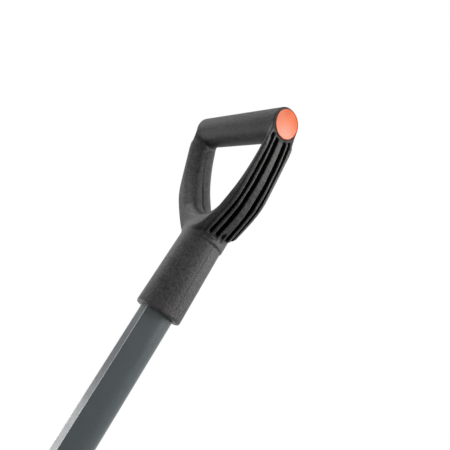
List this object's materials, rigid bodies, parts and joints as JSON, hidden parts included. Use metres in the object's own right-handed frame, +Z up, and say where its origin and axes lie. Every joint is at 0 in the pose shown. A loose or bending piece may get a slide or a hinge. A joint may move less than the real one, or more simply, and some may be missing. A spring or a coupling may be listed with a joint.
{
  "type": "transplanting spade",
  "caption": "Transplanting spade with a narrow dished steel blade, foot treads, a coated teardrop steel shaft and a moulded D-handle with slotted arms and end caps.",
  "frame": {"origin": "on the shaft's axis at the mouth of the handle's collar", "axes": "+Z up the shaft towards the handle, +X to the right along the grip bar, -Y towards the blade's dished front"},
  "size_m": [0.15, 0.0748, 1.1991],
  "materials": {
    "handle_plastic": "satin moulded texture",
    "cap_plastic": "satin",
    "shaft_coat": "satin powder coat",
    "blade_coat": "satin powder coat",
    "screw_steel": "zinc plated"
  },
  "bodies": {
    "root": {"handle_body": "handle_plastic", "end_cap_left": "cap_plastic", "end_cap_right": "cap_plastic", "shaft_tube": "shaft_coat", "blade": "blade_coat", "blade_socket": "blade_coat", "tread_left": "blade_coat", "tread_right": "blade_coat", "tread_welds": "blade_coat", "tang_welds": "blade_coat", "shaft_weld": "blade_coat", "handle_screw": "screw_steel"}
  },
  "joints": []
}
